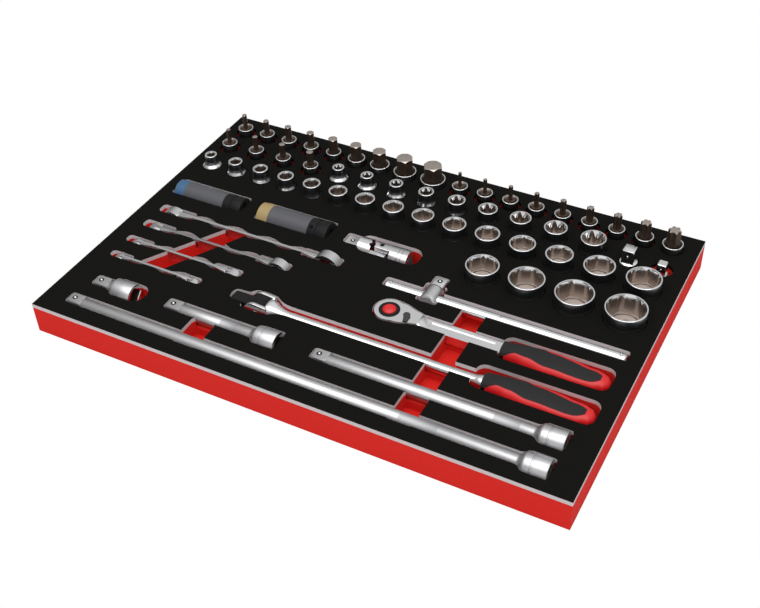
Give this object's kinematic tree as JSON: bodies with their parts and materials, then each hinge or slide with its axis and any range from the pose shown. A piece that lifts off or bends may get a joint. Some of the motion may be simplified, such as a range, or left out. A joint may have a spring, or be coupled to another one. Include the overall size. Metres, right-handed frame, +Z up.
{
  "type": "foam tool inlay",
  "caption": "Two-layer foam drawer inlay holding a half-inch drive socket, bit and wrench set, with every tool lying or standing in its own cut-out.",
  "frame": {"origin": "centre of the underside of the foam", "axes": "+X along the long side to the right, +Y to the back edge, +Z up out of the foam"},
  "size_m": [0.564, 0.38, 0.059],
  "materials": {
    "red_foam": "matte",
    "black_foam": "matte",
    "chrome": "polished",
    "bit_steel": "satin",
    "black_steel": "satin",
    "satin_steel": "satin",
    "sleeve_plastic": "satin",
    "red_plastic": "satin",
    "grip_rubber": "matte"
  },
  "bodies": {
    "tray": {"foam_base": "red_foam", "foam_top": "black_foam"},
    "hex_bit_set": {"hex_bit_holders": "chrome", "hex_bits": "bit_steel"},
    "star_bit_set": {"star_bit_holders": "chrome", "star_bits": "bit_steel"},
    "spline_bit_set": {"spline_bit_holders": "chrome", "spline_bits": "bit_steel"},
    "star_socket_set": {"star_sockets": "chrome"},
    "hex_socket_set": {"hex_sockets": "chrome"},
    "large_socket_set": {"large_hex_sockets": "chrome"},
    "large_adapter": {"adapter_large": "chrome"},
    "small_adapter": {"adapter_small": "chrome"},
    "small_impact": {"impact_socket_small": "black_steel", "impact_sleeve_small": "sleeve_plastic"},
    "large_impact": {"impact_socket_large": "black_steel", "impact_sleeve_large": "sleeve_plastic"},
    "long_extension": {"extension_long": "chrome"},
    "middle_extension": {"extension_middle": "chrome"},
    "short_extension": {"extension_short": "chrome"},
    "stub_extension": {"extension_stub": "chrome"},
    "joint_socket_end": {"joint_socket_fork": "chrome"},
    "joint_centre": {"joint_block": "black_steel"},
    "joint_drive_end": {"joint_drive_fork": "chrome"},
    "cross_rod": {"cross_bar": "chrome"},
    "cross_slide": {"cross_slider": "satin_steel"},
    "ratchet": {"ratchet_body": "chrome", "ratchet_cover": "black_steel", "ratchet_grip_core": "red_plastic", "ratchet_grip_pads": "grip_rubber"},
    "ratchet_gear": {"ratchet_drive": "satin_steel"},
    "button": {"ratchet_button": "red_plastic"},
    "lever": {"ratchet_lever": "black_steel"},
    "breaker": {"breaker_bar": "chrome", "breaker_pin": "satin_steel", "breaker_grip_core": "red_plastic", "breaker_grip_pads": "grip_rubber"},
    "swivel_head": {"breaker_head": "black_steel"},
    "ring_wrench_one": {"wrench_one": "satin_steel"},
    "ring_wrench_two": {"wrench_two": "satin_steel"},
    "ring_wrench_three": {"wrench_three": "satin_steel"},
    "ring_wrench_four": {"wrench_four": "satin_steel"}
  },
  "joints": [
    {"name": "lift_hex_bit_set", "type": "slide", "parent": "tray", "child": "hex_bit_set", "axis": [0, 0, 1], "range_m": [0, 0.06]},
    {"name": "lift_star_bit_set", "type": "slide", "parent": "tray", "child": "star_bit_set", "axis": [0, 0, 1], "range_m": [0, 0.06]},
    {"name": "lift_spline_bit_set", "type": "slide", "parent": "tray", "child": "spline_bit_set", "axis": [0, 0, 1], "range_m": [0, 0.06]},
    {"name": "lift_star_socket_set", "type": "slide", "parent": "tray", "child": "star_socket_set", "axis": [0, 0, 1], "range_m": [0, 0.06]},
    {"name": "lift_hex_socket_set", "type": "slide", "parent": "tray", "child": "hex_socket_set", "axis": [0, 0, 1], "range_m": [0, 0.06]},
    {"name": "lift_large_socket_set", "type": "slide", "parent": "tray", "child": "large_socket_set", "axis": [0, 0, 1], "range_m": [0, 0.06]},
    {"name": "lift_large_adapter", "type": "slide", "parent": "tray", "child": "large_adapter", "axis": [0, 0, 1], "range_m": [0, 0.06]},
    {"name": "lift_small_adapter", "type": "slide", "parent": "tray", "child": "small_adapter", "axis": [0, 0, 1], "range_m": [0, 0.06]},
    {"name": "lift_small_impact", "type": "slide", "parent": "tray", "child": "small_impact", "axis": [0, 0, 1], "range_m": [0, 0.06]},
    {"name": "lift_large_impact", "type": "slide", "parent": "tray", "child": "large_impact", "axis": [0, 0, 1], "range_m": [0, 0.06]},
    {"name": "lift_long_extension", "type": "slide", "parent": "tray", "child": "long_extension", "axis": [0, 0, 1], "range_m": [0, 0.06]},
    {"name": "lift_middle_extension", "type": "slide", "parent": "tray", "child": "middle_extension", "axis": [0, 0, 1], "range_m": [0, 0.06]},
    {"name": "lift_short_extension", "type": "slide", "parent": "tray", "child": "short_extension", "axis": [0, 0, 1], "range_m": [0, 0.06]},
    {"name": "lift_stub_extension", "type": "slide", "parent": "tray", "child": "stub_extension", "axis": [0, 0, 1], "range_m": [0, 0.06]},
    {"name": "lift_joint_socket_end", "type": "slide", "parent": "tray", "child": "joint_socket_end", "axis": [0, 0, 1], "range_m": [0, 0.06]},
    {"name": "lift_cross_rod", "type": "slide", "parent": "tray", "child": "cross_rod", "axis": [0, 0, 1], "range_m": [0, 0.06]},
    {"name": "lift_ratchet", "type": "slide", "parent": "tray", "child": "ratchet", "axis": [0, 0, 1], "range_m": [0, 0.06]},
    {"name": "lift_breaker", "type": "slide", "parent": "tray", "child": "breaker", "axis": [0, 0, 1], "range_m": [0, 0.06]},
    {"name": "lift_ring_wrench_one", "type": "slide", "parent": "tray", "child": "ring_wrench_one", "axis": [0, 0, 1], "range_m": [0, 0.06]},
    {"name": "lift_ring_wrench_two", "type": "slide", "parent": "tray", "child": "ring_wrench_two", "axis": [0, 0, 1], "range_m": [0, 0.06]},
    {"name": "lift_ring_wrench_three", "type": "slide", "parent": "tray", "child": "ring_wrench_three", "axis": [0, 0, 1], "range_m": [0, 0.06]},
    {"name": "lift_ring_wrench_four", "type": "slide", "parent": "tray", "child": "ring_wrench_four", "axis": [0, 0, 1], "range_m": [0, 0.06]},
    {"name": "joint_socket_pin", "type": "hinge", "parent": "joint_socket_end", "child": "joint_centre", "pos_m": [-0.0111, 0.038, 0.027], "axis": [0, 0, 1], "range_deg": [-1.2, 1.2]},
    {"name": "joint_drive_pin", "type": "hinge", "parent": "joint_centre", "child": "joint_drive_end", "pos_m": [-0.0111, 0.038, 0.027], "axis": [0, 1, 0], "range_deg": [0, 40]},
    {"name": "slider_travel", "type": "slide", "parent": "cross_rod", "child": "cross_slide", "axis": [1, 0, 0], "range_m": [-0.001, 0.001]},
    {"name": "ratchet_turn", "type": "hinge", "parent": "ratchet", "child": "ratchet_gear", "pos_m": [0.0397, -0.0445, 0.028], "axis": [0, 0, 1], "continuous": true},
    {"name": "button_press", "type": "slide", "parent": "ratchet_gear", "child": "button", "axis": [0, 0, -1], "range_m": [0, 0.0015], "stiffness_N_per_m": 800},
    {"name": "lever_swing", "type": "hinge", "parent": "ratchet", "child": "lever", "pos_m": [0.0592, -0.046, 0.036], "axis": [0, 0, 1], "range_deg": [0, 60]},
    {"name": "head_swing", "type": "hinge", "parent": "breaker", "child": "swivel_head", "pos_m": [-0.081, -0.089, 0.027], "axis": [0, 1, 0], "range_deg": [0, 90]}
  ]
}
